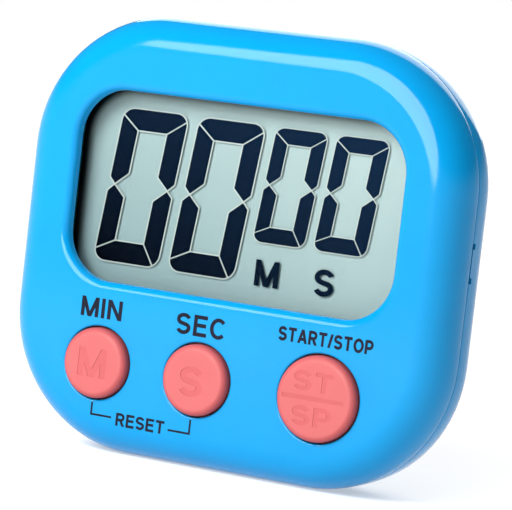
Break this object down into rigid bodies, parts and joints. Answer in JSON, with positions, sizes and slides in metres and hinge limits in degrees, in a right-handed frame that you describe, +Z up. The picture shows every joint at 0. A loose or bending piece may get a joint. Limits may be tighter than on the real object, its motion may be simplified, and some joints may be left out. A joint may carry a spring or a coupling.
{
  "type": "digital kitchen timer",
  "caption": "Palm-sized digital kitchen timer that stands on its edge, with a large segment display, round push keys, a fold-out stand, a magnetic back and a coin-cell door.",
  "frame": {"origin": "under the middle of the timer, on the surface it stands on", "axes": "+X across the face to the reader's right, +Y from the face to the back, +Z up"},
  "size_m": [0.07, 0.0166, 0.064],
  "materials": {
    "shell": "gloss",
    "key": "satin",
    "window": "gloss",
    "lcd": "gloss",
    "foil": "satin",
    "zebra": "matte",
    "board": "satin",
    "epoxy": "satin",
    "ceramic": "matte",
    "resistor": "satin",
    "brass": "satin",
    "steel": "gloss",
    "contact": "satin",
    "rubber": "matte",
    "carbon": "matte",
    "wire_red": "satin",
    "wire_black": "satin",
    "screw": "satin",
    "magnet": "gloss",
    "ink": "matte"
  },
  "bodies": {
    "case": {"front_case": "shell", "back_case": "shell", "display_window": "window", "lcd_front_glass": "lcd", "lcd_rear_glass": "lcd", "lcd_reflector": "foil", "zebra_connector": "zebra", "circuit_board": "board", "chip_blob": "epoxy", "crystal_can": "steel", "capacitor_1": "ceramic", "capacitor_2": "ceramic", "resistor_1": "resistor", "resistor_2": "resistor", "piezo_disc": "brass", "piezo_ceramic": "ceramic", "piezo_wire_red": "wire_red", "piezo_wire_black": "wire_black", "keypad_web": "rubber", "button_cell": "steel", "cell_contact_positive": "contact", "cell_contact_negative": "contact", "magnet_left": "magnet", "magnet_right": "magnet", "key_dome_min": "rubber", "key_dome_sec": "rubber", "key_dome_start_stop": "rubber", "case_screw_1": "screw", "case_screw_2": "screw", "case_screw_3": "screw", "case_screw_4": "screw", "board_screw_left": "screw", "board_screw_right": "screw"},
    "battery_door": {"battery_door": "shell"},
    "kick_stand": {"kick_stand": "shell"},
    "min_key": {"button_min": "key", "contact_pill_min": "carbon"},
    "sec_key": {"button_sec": "key", "contact_pill_sec": "carbon"},
    "start_stop_key": {"button_start_stop": "key", "contact_pill_start_stop": "carbon"}
  },
  "joints": [
    {"name": "min_press", "type": "slide", "parent": "case", "child": "min_key", "axis": [0, 1, 0], "range_m": [0, 0.001], "stiffness_N_per_m": 150, "springref_m": -0.001, "deforming": ["key_dome_min"]},
    {"name": "sec_press", "type": "slide", "parent": "case", "child": "sec_key", "axis": [0, 1, 0], "range_m": [0, 0.001], "stiffness_N_per_m": 150, "springref_m": -0.001, "deforming": ["key_dome_sec"]},
    {"name": "start_stop_press", "type": "slide", "parent": "case", "child": "start_stop_key", "axis": [0, 1, 0], "range_m": [0, 0.001], "stiffness_N_per_m": 150, "springref_m": -0.001, "deforming": ["key_dome_start_stop"]},
    {"name": "battery_door_turn", "type": "hinge", "parent": "case", "child": "battery_door", "pos_m": [-0.019, 0.0083, 0.017], "axis": [0, 1, 0], "range_deg": [0, 45]},
    {"name": "stand_fold", "type": "hinge", "parent": "case", "child": "kick_stand", "pos_m": [0, 0.00725, 0.0404], "axis": [1, 0, 0], "range_deg": [0, 60]}
  ]
}
